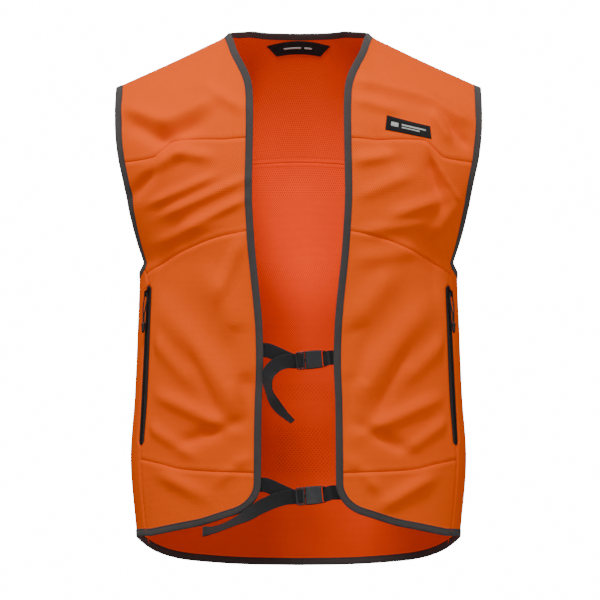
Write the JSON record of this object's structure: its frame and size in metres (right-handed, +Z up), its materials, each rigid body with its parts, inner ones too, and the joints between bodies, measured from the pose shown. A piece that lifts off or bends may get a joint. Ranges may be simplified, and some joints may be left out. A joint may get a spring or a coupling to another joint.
{
  "type": "field vest",
  "caption": "Blaze orange knitted field vest, open at the front, with buckled webbing straps, zipped side pockets and a dropped back hem.",
  "frame": {"origin": "the nape, the middle of the back neck edge", "axes": "+X to the wearer's left, +Y to the back, so that the front faces -Y, +Z up"},
  "size_m": [0.5116, 0.2642, 0.7506],
  "materials": {
    "orange_knit": "matt open knit",
    "pocket_lining": "matt fine mesh",
    "binding": "matt ribbed tape",
    "webbing": "matt woven webbing",
    "cord": "braided",
    "cord_end": "moulded",
    "buckle": "moulded satin",
    "zip_teeth": "moulded",
    "zip_tape": "woven tape",
    "zip_metal": "black enamel",
    "label": "woven label"
  },
  "bodies": {
    "vest": {"right_front_yoke": "orange_knit", "right_front_chest_panel": "orange_knit", "right_front_lower_panel": "orange_knit", "right_front_hem_panel": "orange_knit", "right_side_panel": "orange_knit", "right_front_binding": "binding", "right_armhole_binding": "binding", "right_zip_teeth_front": "zip_teeth", "right_zip_teeth_side": "zip_teeth", "right_zip_top_stop": "zip_metal", "right_zip_bottom_stop": "zip_metal", "right_pocket_bag": "pocket_lining", "right_zip_tape_front": "zip_tape", "right_zip_tape_side": "zip_tape", "left_front_yoke": "orange_knit", "left_front_chest_panel": "orange_knit", "left_front_lower_panel": "orange_knit", "left_front_hem_panel": "orange_knit", "left_side_panel": "orange_knit", "left_front_binding": "binding", "left_armhole_binding": "binding", "left_zip_teeth_front": "zip_teeth", "left_zip_teeth_side": "zip_teeth", "left_zip_top_stop": "zip_metal", "left_zip_bottom_stop": "zip_metal", "left_pocket_bag": "pocket_lining", "left_zip_tape_front": "zip_tape", "left_zip_tape_side": "zip_tape", "back_yoke": "orange_knit", "back_body": "orange_knit", "back_neck_binding": "binding", "back_hem_binding": "binding", "neck_label": "label", "chest_label": "label", "upper_buckle_socket": "buckle", "upper_strap_right": "webbing", "upper_strap_left": "webbing", "lower_buckle_socket": "buckle", "lower_strap_right": "webbing", "lower_strap_left": "webbing"},
    "right_slider": {"right_zip_slider": "zip_metal"},
    "right_pull": {"right_pull_cord": "cord", "right_pull_end": "cord_end"},
    "left_slider": {"left_zip_slider": "zip_metal"},
    "left_pull": {"left_pull_cord": "cord", "left_pull_end": "cord_end"},
    "upper_plug": {"upper_buckle_plug": "buckle", "upper_strap_tail": "webbing"},
    "upper_arm_top": {"upper_plug_arm_top": "buckle"},
    "upper_arm_bottom": {"upper_plug_arm_bottom": "buckle"},
    "lower_plug": {"lower_buckle_plug": "buckle", "lower_strap_tail": "webbing"},
    "lower_arm_top": {"lower_plug_arm_top": "buckle"},
    "lower_arm_bottom": {"lower_plug_arm_bottom": "buckle"}
  },
  "joints": [
    {"name": "right_zip_slide", "type": "slide", "parent": "vest", "child": "right_slider", "axis": [-0.0499, 0.01, -0.9987], "range_m": [0, 0.198]},
    {"name": "right_pull_swing", "type": "hinge", "parent": "right_slider", "child": "right_pull", "pos_m": [-0.212, -0.11488, -0.3642], "axis": [-0.5686, 0.8218, 0.0367], "range_deg": [0, 140]},
    {"name": "left_zip_slide", "type": "slide", "parent": "vest", "child": "left_slider", "axis": [0.0499, 0.01, -0.9987], "range_m": [0, 0.198]},
    {"name": "left_pull_swing", "type": "hinge", "parent": "left_slider", "child": "left_pull", "pos_m": [0.212, -0.11488, -0.3642], "axis": [-0.5686, -0.8218, -0.0367], "range_deg": [0, 140]},
    {"name": "upper_buckle_release", "type": "slide", "parent": "vest", "child": "upper_plug", "axis": [-0.9962, 0, -0.0872], "range_m": [0, 0.03], "deforming": ["upper_strap_right", "upper_plug_arm_top", "upper_plug_arm_bottom"]},
    {"name": "upper_arm_top_squeeze", "type": "hinge", "parent": "upper_plug", "child": "upper_arm_top", "pos_m": [0.00863, -0.18507, -0.45037], "axis": [0, 1, 0], "range_deg": [0, 10], "stiffness_Nm_per_rad": 0.3},
    {"name": "upper_arm_bottom_squeeze", "type": "hinge", "parent": "upper_plug", "child": "upper_arm_bottom", "pos_m": [0.00977, -0.18507, -0.46332], "axis": [0, 1, 0], "range_deg": [-10, 0], "stiffness_Nm_per_rad": 0.3},
    {"name": "lower_buckle_release", "type": "slide", "parent": "vest", "child": "lower_plug", "axis": [-0.9962, 0, -0.0872], "range_m": [0, 0.03], "deforming": ["lower_strap_right", "lower_plug_arm_top", "lower_plug_arm_bottom"]},
    {"name": "lower_arm_top_squeeze", "type": "hinge", "parent": "lower_plug", "child": "lower_arm_top", "pos_m": [0.00863, -0.18353, -0.63787], "axis": [0, 1, 0], "range_deg": [0, 10], "stiffness_Nm_per_rad": 0.3},
    {"name": "lower_arm_bottom_squeeze", "type": "hinge", "parent": "lower_plug", "child": "lower_arm_bottom", "pos_m": [0.00977, -0.18353, -0.65082], "axis": [0, 1, 0], "range_deg": [-10, 0], "stiffness_Nm_per_rad": 0.3}
  ],
  "couplings": [
    {"joint": "upper_arm_bottom_squeeze", "follows": "upper_arm_top_squeeze", "ratio": -1},
    {"joint": "lower_arm_bottom_squeeze", "follows": "lower_arm_top_squeeze", "ratio": -1}
  ]
}
